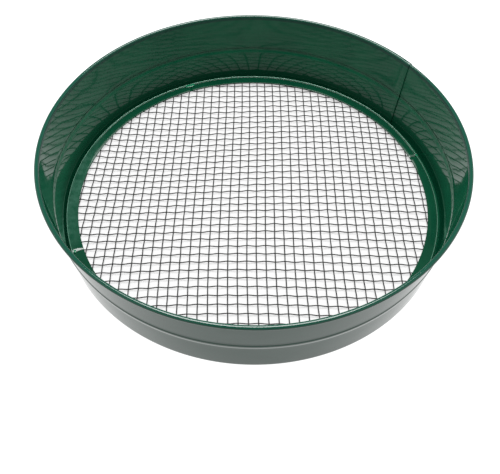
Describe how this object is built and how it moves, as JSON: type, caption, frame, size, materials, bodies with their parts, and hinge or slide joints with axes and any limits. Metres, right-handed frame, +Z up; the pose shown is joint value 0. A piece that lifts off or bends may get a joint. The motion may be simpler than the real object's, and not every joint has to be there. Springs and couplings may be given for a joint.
{
  "type": "soil sieve",
  "caption": "Round hand-held garden sieve: a tapered green steel band with a rolled rim and a flat woven wire mesh clamped in its foot.",
  "frame": {"origin": "centre of the foot, on the surface that the sieve stands on", "axes": "+Z up along the sieve's axis, +Y to the back of the view that the picture shows, +X to its right; the upper layer of mesh wires runs along X"},
  "size_m": [0.37, 0.37, 0.0755],
  "materials": {
    "green_paint": "gloss",
    "mesh_steel": "satin",
    "core_steel": "satin"
  },
  "bodies": {
    "root": {"wall_band": "green_paint", "rim_wire": "core_steel", "clamp_ring_back": "green_paint", "clamp_ring_left": "green_paint", "clamp_ring_front": "green_paint", "clamp_ring_right": "green_paint", "tack_back_right": "green_paint", "tack_back_left": "green_paint", "tack_front_left": "green_paint", "tack_front_right": "green_paint", "cross_wires": "mesh_steel", "long_wire_01": "mesh_steel", "long_wire_02": "mesh_steel", "long_wire_03": "mesh_steel", "long_wire_04": "mesh_steel", "long_wire_05": "mesh_steel", "long_wire_06": "mesh_steel", "long_wire_07": "mesh_steel", "long_wire_08": "mesh_steel", "long_wire_09": "mesh_steel", "long_wire_10": "mesh_steel", "long_wire_11": "mesh_steel", "long_wire_12": "mesh_steel", "long_wire_13": "mesh_steel", "long_wire_14": "mesh_steel", "long_wire_15": "mesh_steel", "long_wire_16": "mesh_steel", "long_wire_17": "mesh_steel", "long_wire_18": "mesh_steel", "long_wire_19": "mesh_steel", "long_wire_20": "mesh_steel", "long_wire_21": "mesh_steel", "long_wire_22": "mesh_steel", "long_wire_23": "mesh_steel", "long_wire_24": "mesh_steel", "long_wire_25": "mesh_steel", "long_wire_26": "mesh_steel", "long_wire_27": "mesh_steel", "long_wire_28": "mesh_steel", "long_wire_29": "mesh_steel", "long_wire_30": "mesh_steel", "long_wire_31": "mesh_steel", "long_wire_32": "mesh_steel", "long_wire_33": "mesh_steel", "long_wire_34": "mesh_steel", "long_wire_35": "mesh_steel", "long_wire_36": "mesh_steel", "long_wire_37": "mesh_steel", "long_wire_38": "mesh_steel", "long_wire_39": "mesh_steel", "long_wire_40": "mesh_steel"}
  },
  "joints": []
}
